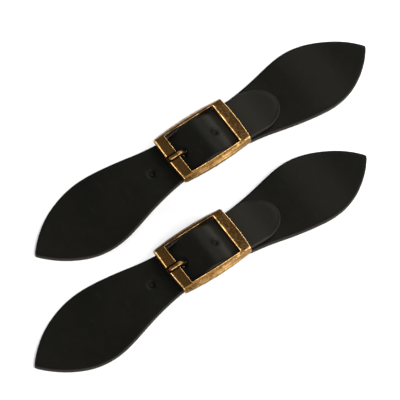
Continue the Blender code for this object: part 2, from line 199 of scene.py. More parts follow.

# Wear of the brass, from 0 in its patina to 1 where it is rubbed bright. The keeper end is also painted
# lighter than the frame's middle, and the heel end darker, by up to END_PAINTED_LIGHT: painted light from +X.
END_PAINTED_LIGHT = 0.40
RAIL_WEAR = 0.55
# Share of the section's own wear that is left on the outer half of a side rail
OUTER_EDGE_WEAR = 0.5
NOTCH_FLOOR_WEAR = 0.15
NOTCH_WALL_WEAR = 0.5
LUG_WEAR = 0.15
HIDDEN_WEAR = 0.1
EYE_WEAR = 0.4
ARM_WEAR = 0.12
ARM_TOP_WEAR = 0.42

# Prong. Its arm is given as (x, z, half width, half height).
PRONG_ROUTE = (
    (-0.0010, 0.0081, 0.00085, 0.00080),
    (-0.0045, 0.0074, 0.00095, 0.00085),
    (-0.0074, 0.0070, 0.00100, 0.00088),
    (-0.0089, 0.0082, 0.00102, 0.00090),
    (-0.0109, 0.0118, 0.00105, 0.00092),
    (-0.0127, 0.0129, 0.00108, 0.00090),
    (-0.0153, 0.0130, 0.00106, 0.00084),
    (-0.0180, 0.0128, 0.00092, 0.00066),
)
# The arm's section lies between a rectangle at 0 and an ellipse at 1, and its tip is blunt
ARM_SQUARENESS = 0.62
TIP_TAPER = 0.0009
TIP_BLUNTNESS = 0.25
EYE_RADIUS = 0.0028
EYE_BORE = BAR_RADIUS + GAP
EYE_HALF_WIDTH = 0.0011
EYE_SOFT = 0.00025

# Rivet
RIVET_X = 0.0125
RIVET_HOLE = 0.0019
SEAT_RADIUS = 0.0031
SEAT_DEPTH = 0.003
# How much of a cut edge the bared leather of a seat looks like
SEAT_CUT = 0.6
CAP_SEAT_Z = HEEL_LIFT + 0.0031
POST_SEAT_Z = HEEL_LIFT + 0.00095

# Camera and studio
VIEW_AZIMUTH = math.radians(-35.27)
VIEW_ELEVATION = math.radians(63.74)
LENS = 1000.0
SENSOR = 36.0
CAMERA_DISTANCE = 4.945
TARGET_RIGHT = -0.00056
TARGET_FORWARD = 0.00361
FLOOR_SIZE = 6.0
FLOOR_DEPTH = 0.01
WORLD_STRENGTH = 0.22
# Area lights, as (name, place, size, power)
LIGHTS = (
    ("key", (0.45, -1.05, 0.75), (1.0, 0.6), 7.5),
    ("overhead", (0.10, -1.15, 1.45), (1.8, 1.2), 44.0),
    ("side", (1.05, 0.50, 0.78), (0.9, 0.5), 20.0),
    ("far_fill", (-0.90, 1.10, 0.80), (1.5, 1.0), 16.0),
)

# Colours and surfaces
LEATHER_SPECULAR = 0.055
LEATHER_SHEEN = (1.0, 0.96, 0.82)
GRAIN_DARK = (0.0017, 0.0018, 0.0014)
GRAIN_LIGHT = (0.0030, 0.0029, 0.0023)
GRAIN_PALE = (0.0085, 0.0080, 0.0065)
# Paler grain for the painted sheen, with some rubbing, on the strap's right part
GRAIN_RUBBED_AND_SHEEN = (0.0150, 0.0135, 0.0105)
EDGE_DARK = (0.012, 0.011, 0.009)
EDGE_PALE = (0.038, 0.033, 0.027)
NAP_DARK = (0.022, 0.019, 0.016)
NAP_PALE = (0.060, 0.052, 0.043)
BRONZE_DARK = (0.046, 0.022, 0.006)
BRONZE_MID = (0.090, 0.046, 0.013)
BRONZE_LIGHT = (0.18, 0.10, 0.035)
BRASS_BRIGHT = (0.50, 0.31, 0.125)
BRASS_DEEP = (0.34, 0.20, 0.072)
STEEL_DARK = (0.30, 0.28, 0.25)
STEEL_LIGHT = (0.42, 0.40, 0.37)
STEEL_ROUGHNESS = 0.36
RIVET_DARK = (0.30, 0.17, 0.06)
RIVET_LIGHT = (0.42, 0.26, 0.10)
RIVET_ROUGHNESS = 0.40
PAPER_DARK = (0.90, 0.90, 0.90)
PAPER_LIGHT = (0.92, 0.92, 0.92)
# Angle in degrees from which an edge is shaded sharp, for each material slot
SHARP_ANGLE = {"black_leather": 50.0, "antique_brass": 45.0, "bar_steel": 40.0, "rivet_brass": 40.0}


def smooth(t):
    t = min(max(t, 0.0), 1.0)
    return t * t * (3.0 - 2.0 * t)


def bell(t):
    return math.exp(-t * t)


def eased(x, knots):
    """Value at x of a curve that runs level at each knot."""
    if x <= knots[0][0]:
        return knots[0][1]
    for (x0, z0), (x1, z1) in zip(knots, knots[1:]):
        if x <= x1:
            return z0 + (z1 - z0) * smooth((x - x0) / (x1 - x0))
    return knots[-1][1]


def steps(start, stop, count):
    """Evenly spaced values after start, up to and including stop."""
    return [start + (stop - start) * i / count for i in range(1, count + 1)]


def cubic(p0, p1, p2, p3, count):
    """Points on a cubic Bezier curve after its start."""
    points = []
    for t in steps(0.0, 1.0, count):
        weights = ((1 - t) ** 3, 3 * t * (1 - t) ** 2, 3 * t * t * (1 - t), t**3)
        x = sum(w * p[0] for w, p in zip(weights, (p0, p1, p2, p3)))
        y = sum(w * p[1] for w, p in zip(weights, (p0, p1, p2, p3)))
        points.append((x, y))
    return points


def arc(cx, cy, radius, start, stop, count):
    """Points on an arc after its start, with angles in degrees."""
    return [
        (cx + radius * math.cos(math.radians(a)), cy + radius * math.sin(math.radians(a)))
        for a in steps(start, stop, count)
    ]


def closed_mesh(name, verts, faces):
    """A mesh whose faces all point out."""
    mesh = bpy.data.meshes.new(name)
    mesh.from_pydata(verts, [], faces)
    shape = bmesh.new()
    shape.from_mesh(mesh)
    bmesh.ops.recalc_face_normals(shape, faces=shape.faces)
    shape.to_mesh(mesh)
    shape.free()
    return mesh


def float_attribute(mesh, name, values):
    mesh.attributes.new(name, "FLOAT", "POINT").data.foreach_set("value", values)


def even_attribute(mesh, name, value):
    float_attribute(mesh, name, [value] * len(mesh.vertices))


# ---------------------------------------------------------------- leather strips


def leaf_edge(length, half, neck_half, point):
    """Half outline of a pointed leaf, from its softened tip to its neck."""
    widest = WIDEST_SHARE * length + WIDEST_MORE
    handle = (point[0] * widest, point[1] * half)
    crest = (widest, half)
    neck = (length, neck_half)
    lean = math.atan2(handle[1], handle[0])
    centre = TIP_ROUNDING / math.sin(lean)
    tip = arc(centre, 0.0, TIP_ROUNDING, 180.0, 90.0 + math.degrees(lean), 5)
    ogive = cubic((0.0, 0.0), handle, (CREST_SHARE * widest, half), crest, 34)
    waist_handle = (length - WAIST_HANDLE, WAIST_FULLNESS * neck_half)
    waist = cubic(crest, (widest + CREST_HANDLE, half), waist_handle, neck, 32)
    past_tip = [p for p in ogive if p[0] > tip[-1][0] + 0.0003]
    return [(centre - TIP_ROUNDING, 0.0)] + tip + past_tip + waist


def mirrored(edge):
    """Closed outline, anticlockwise, from a half outline that starts and ends on the centre line."""
    return edge[:1] + [(x, -y) for x, y in edge[1:-1]] + edge[:0:-1]


def path_of(points, thicknesses, outward):
    """A strip's centre line: for each point, (distance, point, unit vector to the grain side, thickness)."""
    points = [Vector(p) for p in points]
    path = []
    distance = 0.0
    for i, point in enumerate(points):
        before = points[max(i - 1, 0)]
        after = points[min(i + 1, len(points) - 1)]
        if i:
            distance += (point - before).length
        heading = (after - before).normalized()
        path.append((distance, point, Vector((-heading.y, heading.x)) * outward, thicknesses[i]))
    return path


def on_path(path, distance):
    """The point, the unit vector to the grain side and the thickness at a distance along a path."""
    low, high = 0, len(path) - 1
    while high - low > 1:
        middle = (low + high) // 2
        if path[middle][0] < distance:
            low = middle
        else:
            high = middle
    (d0, p0, v0, t0), (d1, p1, v1, t1) = path[low], path[high]
    share = (distance - d0) / (d1 - d0)
    return p0.lerp(p1, share), v0.lerp(v1, share).normalized(), t0 + (t1 - t0) * share


def distance_at(path, x, after=0.0):
    """Distance along a path of its first crossing of x past a given distance."""
    for (d0, p0, _, _), (d1, p1, _, _) in zip(path, path[1:]):
        if d1 > after and (p0.x - x) * (p1.x - x) <= 0 and p0.x != p1.x:
            return d0 + (d1 - d0) * (x - p0.x) / (p1.x - p0.x)
    return path[-1][0]


def billet_path(tip_x, end_x):
    count = round((end_x - tip_x) / PATH_STEP)
    stations = [tip_x] + steps(tip_x, end_x, count)
    points = [(x, eased(x, BILLET_REST) + LEATHER / 2) for x in stations]
    return path_of(points, [LEATHER] * len(points), 1.0)


def tab_path(tip_x, bar_z):
    """From the leaf's tip, over the tail, round the heel bar and back underneath."""
    count = round((tip_x - SKIVE_END_X) / PATH_STEP)
    points = []
    thicknesses = []
    for x in [tip_x] + steps(tip_x, SKIVE_END_X, count):
        share = (x - SKIVE_END_X) / (SKIVE_START_X - SKIVE_END_X)
        thickness = SKIVED + (LEATHER - SKIVED) * smooth(share)
        points.append((x, eased(x, TAB_REST) + thickness / 2))
        thicknesses.append(thickness)
    radius = BAR_RADIUS + GAP + SKIVED / 2
    start = arc(0.0, bar_z, radius, 0.0, FOLD_START, 1)[0]
    turn = math.radians(FOLD_START)
    low = points[-1]
    bend = (start[0] + FOLD_HANDLE * math.sin(turn), start[1] - FOLD_HANDLE * math.cos(turn))
    points += cubic(low, (low[0] - FOLD_HANDLE, low[1]), bend, start, 12)
    points += arc(0.0, bar_z, radius, FOLD_START, 270.0, 36)
    points += [(x, HEEL_LIFT + SKIVED / 2) for x in steps(0.0, TAIL_END_X, 20)]
    thicknesses += [SKIVED] * (len(points) - len(thicknesses))
    return path_of(points, thicknesses, -1.0)


def even(loop, spacing):
    """A closed outline with its points spaced evenly."""
    lengths = [0.0]
    ring = loop + loop[:1]
    for a, b in zip(ring, ring[1:]):
        lengths.append(lengths[-1] + math.dist(a, b))
    count = max(12, round(lengths[-1] / spacing))
    result = []
    i = 0
    for k in range(count):
        target = lengths[-1] * k / count
        while lengths[i + 1] < target:
            i += 1
        t = (target - lengths[i]) / (lengths[i + 1] - lengths[i])
        result.append(tuple(a + (b - a) * t for a, b in zip(ring[i], ring[i + 1])))
    return result


def inset(loop, distance):
    """A closed outline moved to its left, which is into the leather."""
    moved = []
    for before, here, after in zip(loop[-1:] + loop[:-1], loop, loop[1:] + loop[:1]):
        heading = (Vector(after) - Vector(before)).normalized()
        moved.append((here[0] - heading.y * distance, here[1] + heading.x * distance))
    return moved


def holds(loop, x, y):
    """Whether a closed outline has a point inside it."""
    inside = False
    for (x0, y0), (x1, y1) in zip(loop, loop[1:] + loop[:1]):
        if (y0 > y) != (y1 > y) and x < x0 + (y - y0) * (x1 - x0) / (y1 - y0):
            inside = not inside
    return inside


def hole_rings(holes):
    """Points that shape the pressed rim of each punched hole, given as (centre, radius, taper)."""
    points = []
    for centre, radius, _ in holes:
        for extra, count in HOLE_RINGS:
            points += arc(centre, 0.0, radius + extra, 0.0, 360.0, count)
    return points


def inner_points(outline, openings, rings):
    """Points of a staggered grid that lie well inside the leather, and the rings that are asked for."""
    length = max(x for x, _ in outline)
    width = max(y for _, y in outline)
    edges = [Vector(p) for loop in [outline] + openings for p in loop]
    cells = {}
    for p in edges + [Vector(r) for r in rings]:
        cells.setdefault((int(p.x // GRID), int(p.y // GRID)), []).append(p)
    points = list(rings)
    row_height = GRID * math.sqrt(3) / 2
    rows = int(width / row_height)
    for row in range(-rows, rows + 1):
        for column in range(int(length / GRID)):
            spot = Vector(((column + 0.5 * (row % 2)) * GRID, row * row_height))
            cell = (int(spot.x // GRID), int(spot.y // GRID))
            near = [
                p
                for dx in (-1, 0, 1)
                for dy in (-1, 0, 1)
                for p in cells.get((cell[0] + dx, cell[1] + dy), ())
            ]
            if any((p - spot).length < GRID_CLEARANCE for p in near):
                continue
            if holds(outline, *spot) and not any(holds(hole, *spot) for hole in openings):
                points.append(tuple(spot))
    return points


class Leather:
    """A flat pattern that is cut, given rounded edges and bent along a path into a mesh."""

    def __init__(self, path, outline, openings, punched):
        self.path = path
        self.punched = punched
        self.loops = [even(outline, OUTLINE_STEP)] + [even(hole, HOLE_STEP) for hole in openings]
        self.verts = []
        self.faces = []
        self.cut = []

    def vertex(self, spot, share, cut):
        self.verts.append((spot[0], spot[1], share))
        self.cut.append(cut)
        return len(self.verts) - 1

    def build_edges(self):
        """Walls round every outline. Gives each loop's innermost vertices, on the flesh and grain sides."""
        inner = []
        for number, loop in enumerate(self.loops):
            # Walls of holes get little of the cut edge's paleness: painted shade inside the holes
            paleness_with_hole_shade = 1.0 if number == 0 else HOLE_SHADED_PALENESS
            taper = self.punched[number - 1][2] if 0 < number <= len(self.punched) else 0.0
            rows = []
            for distance, share, cut in EDGE_ROWS:
                depth = (1.0 - share) / 2
                ring = inset(loop, distance - taper * depth**TAPER_POWER)
                rows.append([self.vertex(spot, share, cut * paleness_with_hole_shade) for spot in ring])
            for low, high in zip(rows, rows[1:]):
                for i in range(len(loop)):
                    j = (i + 1) % len(loop)
                    self.faces.append((low[i], low[j], high[j], high[i]))
            inner.append((rows[0], rows[-1]))
        return inner

    def build_sides(self, inner):
        """Grain and flesh sides, from one triangulation of the pattern inside its edges."""
        rims = [[self.verts[i][:2] for i in grain] for _, grain in inner]
        spots = [spot for rim in rims for spot in rim]
        constraints = []
        start = 0
        for rim in rims:
            count = len(rim)
            constraints += [(start + i, start + (i + 1) % count) for i in range(count)]
            start += count
        rings = hole_rings(self.punched[1:])
        extra = inner_points(rims[0], rims[1:], rings)
        flat = [Vector(spot) for spot in spots + extra]
        result = geometry.delaunay_2d_cdt(flat, constraints, [], 1, 1e-7)
        triangles, origins = result[2], result[3]
        flesh = [i for rim, _ in inner for i in rim] + [self.vertex(p, -1.0, 0.0) for p in extra]
        grain = [i for _, rim in inner for i in rim] + [self.vertex(p, 1.0, 0.0) for p in extra]
        for triangle in triangles:
            corners = [origins[i][0] for i in triangle]
            middle = sum((flat[i] for i in corners), Vector((0.0, 0.0))) / 3
            if any(holds(rim, *middle) for rim in rims[1:]):
                continue
            self.faces.append(tuple(grain[i] for i in corners))
            self.faces.append(tuple(flesh[i] for i in reversed(corners)))

    def place(self, relief):
        """Bends the pattern along its path. relief gives how far a point stands proud of its surface."""
        placed = []
        for flat_x, y, share in self.verts:
            distance = flat_x
            if self.punched:
                beside = math.hypot(flat_x - self.punched[0][0], y)
                near = smooth((LEAN_OUTER - beside) / (LEAN_OUTER - LEAN_INNER))
                distance -= PRONG_HOLE_LEAN * share * near
            point, out, thickness = on_path(self.path, distance)
            offset = share * thickness / 2 + relief(distance, y, share, point)
            placed.append((point.x + out.x * offset, y, point.y + out.y * offset))
        return placed

    def mesh(self, name, relief):
        self.build_sides(self.build_edges())
        mesh = closed_mesh(name, self.place(relief), self.faces)
        float_attribute(mesh, "cut_edge_and_hole_shade", self.cut)
        float_attribute(mesh, "flesh_side", [0.5 - 0.5 * share for _, _, share in self.verts])
        # Painted sheen on the strap's right part, with rubbing where the keeper end bears on it; none on the
        # buckle tab
        rubbed_and_lit = [eased(vert.co.x, STRAP_RUBBING_AND_SHEEN) if self.punched else 0.0 for vert in mesh.vertices]
        float_attribute(mesh, "rubbed_and_lit", rubbed_and_lit)
        return mesh


def ring_relief(reach, ring):
    """Height that a ring, given as (reach, spread, height), adds at a reach from a hole."""
    centre, spread, height = ring
    return height * bell((reach - centre) / spread)


def punch_relief(distance, y, holes):
    """Low pressed rim round each punched hole, given as (centre, radius, taper)."""
    height = 0.0
    for centre, radius, _ in holes:
        reach = math.hypot(distance - centre, y) - radius
        height += ring_relief(reach, PUNCH_RISE) + ring_relief(reach, PUNCH_DIP)
    return height


def billet_leather(heel, low, high, seed):
    """The pointed leaf that runs on as the strap, with its three punched holes."""
    path = billet_path(low.x - heel.x, high.x - heel.x)
    length = path[-1][0]
    edge = leaf_edge(BILLET_LEAF_LENGTH, (high.y - low.y) / 2, BILLET_NECK_HALF, BILLET_POINT)
    neck = edge[-1]
    edge += neck_edge(neck, (BILLET_LEAF_LENGTH + STRAP_TURN, STRAP_HALF))
    turn = length - END_ROUNDING
    edge += [
        (turn + END_ROUNDING * math.sin(a), STRAP_HALF * math.cos(a))
        for a in [0.0] + steps(0.0, math.pi / 2, 24)
    ]
    edge[-1] = (length, 0.0)
    prong_hole = distance_at(path, PRONG_HOLE_X)
    reach = PRONG_HOLE_HALF_LENGTH
    punched = [(prong_hole, PRONG_HOLE_HALF_WIDTH, PRONG_HOLE_TAPER)]
    punched += [(prong_hole + side * PUNCH_PITCH, PUNCH_RADIUS, PUNCH_TAPER) for side in (-1, 1)]
    holes = [slot_outline(prong_hole - reach, prong_hole + reach, PRONG_HOLE_HALF_WIDTH)]
    holes += [arc(centre, 0.0, radius, 360.0, 0.0, 28) for centre, radius, _ in punched[1:]]
    leather = Leather(path, mirrored(edge), holes, punched)

    def relief(distance, y, share, point):
        rest = wave(point.x, y, seed) * smooth((BILLET_WAVE_X - point.x) / WAVE_FADE)
        if share <= 0:
            return rest
        pucker = ring_relief(math.hypot(distance - prong_hole, y), PRONG_PUCKER)
        pull = smooth((distance - prong_hole) / PUCKER_FADE)
        crown = STRAP_CROWN * (1.0 - (y / STRAP_HALF) ** 2) * smooth((point.x - CROWN_START_X) / CROWN_FADE)
        outward = math.hypot((distance - turn) / END_ROUNDING, y / STRAP_HALF)
        bevel = END_BEVEL * smooth((outward - END_BEVEL_START) / (1.0 - END_BEVEL_START))
        bevel *= smooth((distance - turn) / END_BEVEL_FADE)
        return rest + punch_relief(distance, y, punched) + pucker * pull + crown - bevel

    return leather.mesh("billet_tab", relief)


def neck_edge(start, end):
    """Half outline from a leaf's neck to the even width that follows it."""
    leaving = (start[0] + NECK_HANDLE, start[1] - NECK_SLOPE)
    arriving = (end[0] - NECK_HANDLE, end[1])
    return cubic(start, leaving, arriving, end, 6)


def slot_outline(x0, x1, half):
    """A straight slot with round ends, clockwise."""
    return arc(x1 - half, 0.0, half, 90.0, -90.0, 10) + arc(x0 + half, 0.0, half, -90.0, -270.0, 10)


def tab_leather(heel, low, high, seed):
    """The pointed leaf whose neck is folded round the heel bar, with the prong's slot."""
    path = tab_path(high.x - heel.x, heel.z)
    length = path[-1][0]
    edge = leaf_edge(TAB_LEAF_LENGTH, (high.y - low.y) / 2, TAB_NECK_HALF, TAB_POINT)
    neck = edge[-1]
    edge += neck_edge(neck, (neck[0] + FOLD_TURN, FOLD_HALF))
    edge += arc(length - TAIL_ROUNDING, FOLD_HALF - TAIL_ROUNDING, TAIL_ROUNDING, 90.0, 0.0, 6)
    edge.append((length, 0.0))
    # Past the first crossing of the bar, the next crossings of x are on the tail underneath
    under = distance_at(path, 0.0) + 0.001
    openings = [
        slot_outline(distance_at(path, SLOT_TOP_X), distance_at(path, SLOT_TAIL_X, under), SLOT_HALF),
        arc(distance_at(path, RIVET_X), 0.0, RIVET_HOLE, 360.0, 0.0, 20),
        arc(distance_at(path, RIVET_X, under), 0.0, RIVET_HOLE, 360.0, 0.0, 20),
    ]
    leather = Leather(path, mirrored(edge), openings, [])

    def relief(distance, y, share, point):
        return wave(point.x, y, seed) * smooth((point.x - TAB_WAVE_X) / WAVE_FADE)

    return leather.mesh("buckle_tab", relief)


def wave(x, y, seed):
    """Gentle unevenness of a leaf that lies on a table: never below it."""
    height = 0.0
    for along, across, shift, size in WAVES:
        height += size * (1.0 + noise.noise(Vector((x * along, y * across, seed + shift)))) / 2
    return height


# ---------------------------------------------------------------- metal


def ring_faces(rings, closed):
    """Quads between rings of vertex numbers. closed also joins the last ring to the first."""
    faces = []
    for low, high in zip(rings, rings[1:] + (rings[:1] if closed else [])):
        for i in range(len(low)):
            j = (i + 1) % len(low)
            faces.append((low[i], low[j], high[j], high[i]))
    return faces


def turned(name, profile):
    """A turned solid from the half outline of its section. Its ends may lie on the axis."""
    segments = 48
    verts = []
    rings = []
    for radius, height in profile:
        if radius < 1e-7:
            verts.append((0.0, 0.0, height))
            rings.append([len(verts) - 1] * segments)
            continue
        start = len(verts)
        for i in range(segments):
            angle = 2 * math.pi * i / segments
            verts.append((radius * math.cos(angle), radius * math.sin(angle), height))
        rings.append(list(range(start, start + segments)))
    faces = []
    for face in ring_faces(rings, profile[0][0] > 1e-7):
        corners = tuple(dict.fromkeys(face))
        if len(corners) > 2:
            faces.append(corners)
    return closed_mesh(name, verts, faces)


def about_y(mesh):
    """Turns a mesh that stands along Z so that it lies along Y."""
    for vert in mesh.vertices:
        x, y, z = vert.co
        vert.co = (x, z, -y)
    return mesh


def frame_spots():
    """Matching inner and outer points round the frame, as (inner, outer, limit on height)."""
    spots = []
    # Rows at and beside the notch, as shares of its half width
    near_notch = [0.0, 0.4, 0.8, 0.96, 1.0, 1.06, 1.12, 1.2, 1.4]
    notch_rows = sorted({sign * NOTCH_HALF * n for n in near_notch for sign in (-1, 1)})
    for side in (1, -1):
        far_rows = [side * WINDOW_HALF_WIDTH * v for v in [-0.9] + steps(-0.9, 0.9, 22)]
        if side < 0:
            far_rows = [y for y in far_rows if abs(y) > NOTCH_REACH] + notch_rows
            far_rows.sort(reverse=True)
        for y in far_rows:
            reach = y / WINDOW_HALF_WIDTH
            outer_y = y * FRAME_HALF_WIDTH / WINDOW_HALF_WIDTH
            bow = FRAME_END_BOW * (1.0 - reach * reach)
            limit = math.inf
            if side < 0 and abs(y) <= NOTCH_REACH:
                outer_y = y
                limit = NOTCH_FLOOR + max(0.0, abs(y) - NOTCH_HALF) / LIP * NOTCH_WALL
            spots.append(((side * WINDOW_HALF_LENGTH, y), (side * (FRAME_HALF_LENGTH + bow), outer_y), limit))
        spots += corner_spots(side, side)
        for v in [-0.92] + steps(-0.92, 0.92, 26):
            x = -side * v * WINDOW_HALF_LENGTH
            bow = FRAME_SIDE_BOW * (1.0 - v * v)
            outer_x = -side * v * FRAME_HALF_LENGTH
            outer_y = side * (FRAME_HALF_WIDTH + bow)
            spots.append(((x, side * WINDOW_HALF_WIDTH), (outer_x, outer_y), math.inf))
        spots += corner_spots(-side, side)
    return spots


def corner_spots(side_x, side_y):
    """Matching points round one corner, anticlockwise, as frame_spots gives them."""
    start = {(1, 1): 0.0, (-1, 1): 90.0, (-1, -1): 180.0, (1, -1): 270.0}[side_x, side_y]
    inner, outer = (
        arc(side_x * (half_x - radius), side_y * (half_y - radius), radius, start - 15.0, start + 90.0, 7)
        for half_x, half_y, radius in (
            (WINDOW_HALF_LENGTH, WINDOW_HALF_WIDTH, WINDOW_CORNER),
            (FRAME_HALF_LENGTH, FRAME_HALF_WIDTH, FRAME_CORNER),
        )
    )
    return [(i, o, math.inf) for i, o in zip(inner, outer)]


def frame_section(width):
    """Section of the frame from its inner foot, over the top, to its outer foot and back underneath.

    Each point is (distance from the window's edge, height as a share from bottom to top, depth below
    the top, wear). The height share is 1 on the top surface.
    """
    chamfer, lip, rim = CHAMFER, LIP, RIM_WIDTH
    points = [(0.0, 0.12, 0.0, 0.05), (0.0, 0.55, 0.0, 0.05), (0.0, 1.0, 0.00036, 0.3)]
    points += [(lip * 0.15, 1.0, 0.00014, 0.6), (lip * 0.55, 1.0, 0.00003, 0.65)]
    points += [(lip * 1.1, 1.0, 0.0, 0.65), (rim * 0.62, 1.0, 0.00002, 0.6)]
    points += [(rim * 0.85, 1.0, RIM_HEIGHT * 0.6, 0.45), (rim * 1.15, 1.0, RIM_HEIGHT, 0.1)]
    field = width - 2.3 * rim
    points += [(rim * 1.15 + field * s, 1.0, RIM_HEIGHT, 0.0) for s in steps(0.0, 1.0, 7)[:-1]]
    points += [(width - rim * 1.15, 1.0, RIM_HEIGHT, 0.1), (width - rim * 0.85, 1.0, RIM_HEIGHT * 0.6, 0.45)]
    points += [(width - rim * 0.62, 1.0, 0.00002, 0.9), (width - lip * 1.1, 1.0, 0.0, 1.0)]
    points += [(width - lip * 0.5, 1.0, 0.00005, 1.0), (width - lip * 0.12, 1.0, 0.00017, 0.9)]
    points += [(width, 1.0, 0.00040, 0.6), (width, 0.5, 0.0, 0.35), (width, 0.14, 0.0, 0.5)]
    points += [(width - chamfer, 0.0, 0.0, 0.3), (width / 2, 0.0, 0.0, 0.0), (chamfer, 0.0, 0.0, 0.2)]
    return points


def rail_drop(x, y):
    """How far the top falls away towards the outside of a side rail."""
    reach = FRAME_HALF_WIDTH + FRAME_SIDE_BOW * (1.0 - (x / FRAME_HALF_LENGTH) ** 2) - WINDOW_HALF_WIDTH
    outward = min(max((abs(y) - WINDOW_HALF_WIDTH) / reach, 0.0), 1.0)
    return RAIL_DROP * outward**RAIL_POWER


def frame_mesh(bar_z):
    """Cast frame: flat end bars with raised rims, side rails that slope away, a notch for the prong."""
    verts = []
    wear_and_painted_light = []
    rings = []
    for inner, outer, limit in frame_spots():
        inner, outer = Vector(inner), Vector(outer)
        width = (outer - inner).length
        heading = (outer - inner) / width
        ring = []
        for distance, share, depth, worn_and_lit in frame_section(width):
            spot = inner + heading * distance
            drop = rail_drop(spot.x, spot.y)
            height = FRAME_BOTTOM + (FRAME_TOP - drop - depth - FRAME_BOTTOM) * share
            if abs(inner.y) > WINDOW_HALF_WIDTH - WINDOW_CORNER and distance > width / 2:
                worn_and_lit *= OUTER_EDGE_WEAR
            worn_and_lit = max(worn_and_lit, RAIL_WEAR * smooth(drop / RAIL_DROP * 2.0))
            # Painted light: the top is painted lighter towards the keeper end (+X) and darker towards the
            # heel end (-X)
            worn_and_lit += END_PAINTED_LIGHT * math.tanh(spot.x / WINDOW_HALF_LENGTH) * (1.0 - worn_and_lit) ** 2 * share
            if height > limit:
                height = limit
                worn_and_lit = NOTCH_FLOOR_WEAR if limit < NOTCH_FLOOR + 1e-5 else NOTCH_WALL_WEAR
            verts.append((spot.x, spot.y, height - bar_z))
            wear_and_painted_light.append(worn_and_lit)
            ring.append(len(verts) - 1)
        rings.append(ring)
    mesh = closed_mesh("buckle_frame", verts, ring_faces(rings, True))
    float_attribute(mesh, "wear_and_painted_light", wear_and_painted_light)
    return mesh


def lug_mesh(side, bar_z):
    """Tongue under a side rail that carries one end of the heel bar, with softened edges."""
    segments = 40
    verts = []
    rings = []
    for y, shrink in (
        (LUG_INNER_Y, LUG_SOFT),
        (LUG_INNER_Y + LUG_SOFT, 0.0),
        (LUG_OUTER_Y - LUG_SOFT, 0.0),
        (LUG_OUTER_Y, LUG_SOFT),
    ):
        ring = []
        for i in range(segments):
            angle = 2 * math.pi * i / segments
            x = (LUG_RADIUS - shrink) * math.cos(angle)
            z = (LUG_RADIUS - shrink) * math.sin(angle)
            if z > 1e-6:
                z += LUG_TOP - bar_z - LUG_RADIUS
            verts.append((x, side * y, z))
            ring.append(len(verts) - 1)
        rings.append(ring)
    faces = ring_faces(rings, False) + [tuple(rings[0][::-1]), tuple(rings[-1])]
    mesh = closed_mesh("lug", verts, faces)
    even_attribute(mesh, "wear_and_painted_light", LUG_WEAR)
    return mesh


def block_mesh(name, middle, size, soft=0.0):
    """A box, with its edges rounded by soft."""
    shape = bmesh.new()
    bmesh.ops.create_cube(shape, size=1.0)
    for vert in shape.verts:
        vert.co = middle + vert.co * size
    if soft:
        bmesh.ops.bevel(shape, geom=shape.edges[:], offset=soft, segments=2, affect="EDGES")
    mesh = bpy.data.meshes.new(name)
    shape.to_mesh(mesh)
    shape.free()
    return mesh


def web_mesh(side, bar_z):
    """Thin wall under a side rail that stiffens it from end bar to end bar."""
    across = side * (LUG_INNER_Y + LUG_OUTER_Y) / 2
    middle = Vector(((WEB_START_X + WEB_END_X) / 2, across, (WEB_BOTTOM + LUG_TOP) / 2 - bar_z))
    size = Vector((WEB_END_X - WEB_START_X, LUG_OUTER_Y - LUG_INNER_Y, LUG_TOP - WEB_BOTTOM))
    mesh = block_mesh("web", middle, size, WEB_SOFT)
    even_attribute(mesh, "wear_and_painted_light", HIDDEN_WEAR)
    return mesh


def prong_arm_mesh(bar_z):
    """Cranked arm of rounded rectangular section, tapered to its tip."""
    segments = 24
    route = smooth_route(PRONG_ROUTE, 9)
    verts = []
    wear_and_painted_light = []
    rings = []
    tip_x = route[-1][0]
    for i, (x, z, half_width, half_height) in enumerate(route):
        before, after = route[max(i - 1, 0)], route[min(i + 1, len(route) - 1)]
        heading = Vector((after[0] - before[0], after[1] - before[1])).normalized()
        out = Vector((heading.y, -heading.x))
        to_tip = max(0.0, 1.0 - (x - tip_x) / TIP_TAPER)
        blunt = TIP_BLUNTNESS + (1.0 - TIP_BLUNTNESS) * math.sqrt(max(1.0 - to_tip**2, 0.0))
        ring = []
        for k in range(segments):
            angle = 2 * math.pi * k / segments
            across = math.copysign(abs(math.cos(angle)) ** ARM_SQUARENESS, math.cos(angle))
            height = math.copysign(abs(math.sin(angle)) ** ARM_SQUARENESS, math.sin(angle))
            offset = height * half_height * blunt
            verts.append((x + out.x * offset, across * half_width * blunt, z + out.y * offset - bar_z))
            wear_and_painted_light.append(ARM_WEAR + ARM_TOP_WEAR * max(0.0, math.sin(angle)) ** 4)
            ring.append(len(verts) - 1)
        rings.append(ring)
    faces = ring_faces(rings, False) + [tuple(rings[0][::-1]), tuple(rings[-1])]
    mesh = closed_mesh("prong_arm", verts, faces)
    float_attribute(mesh, "wear_and_painted_light", wear_and_painted_light)
    return mesh


def smooth_route(knots, count):
    """A smooth curve through knots of any number of values."""
    route = [knots[0]]
    for i in range(len(knots) - 1):
        p0, p1, p2, p3 = knots[max(i - 1, 0)], knots[i], knots[i + 1], knots[min(i + 2, len(knots) - 1)]
        for t in steps(0.0, 1.0, count):
            weights = (2 * t**2 - t - t**3, 2 - 5 * t**2 + 3 * t**3, t + 4 * t**2 - 3 * t**3, t**3 - t**2)
            values = zip(p0, p1, p2, p3)
            route.append(tuple(sum(w * v for w, v in zip(weights, four)) / 2 for four in values))
    return route


def rod_mesh(name, radius, half_length, soft):
    """A bar about Y whose ends have rounded edges."""
    profile = [(0.0, half_length)]
    for angle in (0.0, 0.4, 0.8, 1.2, math.pi / 2):
        profile.append((radius - soft + soft * math.sin(angle), half_length - soft + soft * math.cos(angle)))
    profile += [(r, -z) for r, z in reversed(profile)]
    return about_y(turned(name, profile))


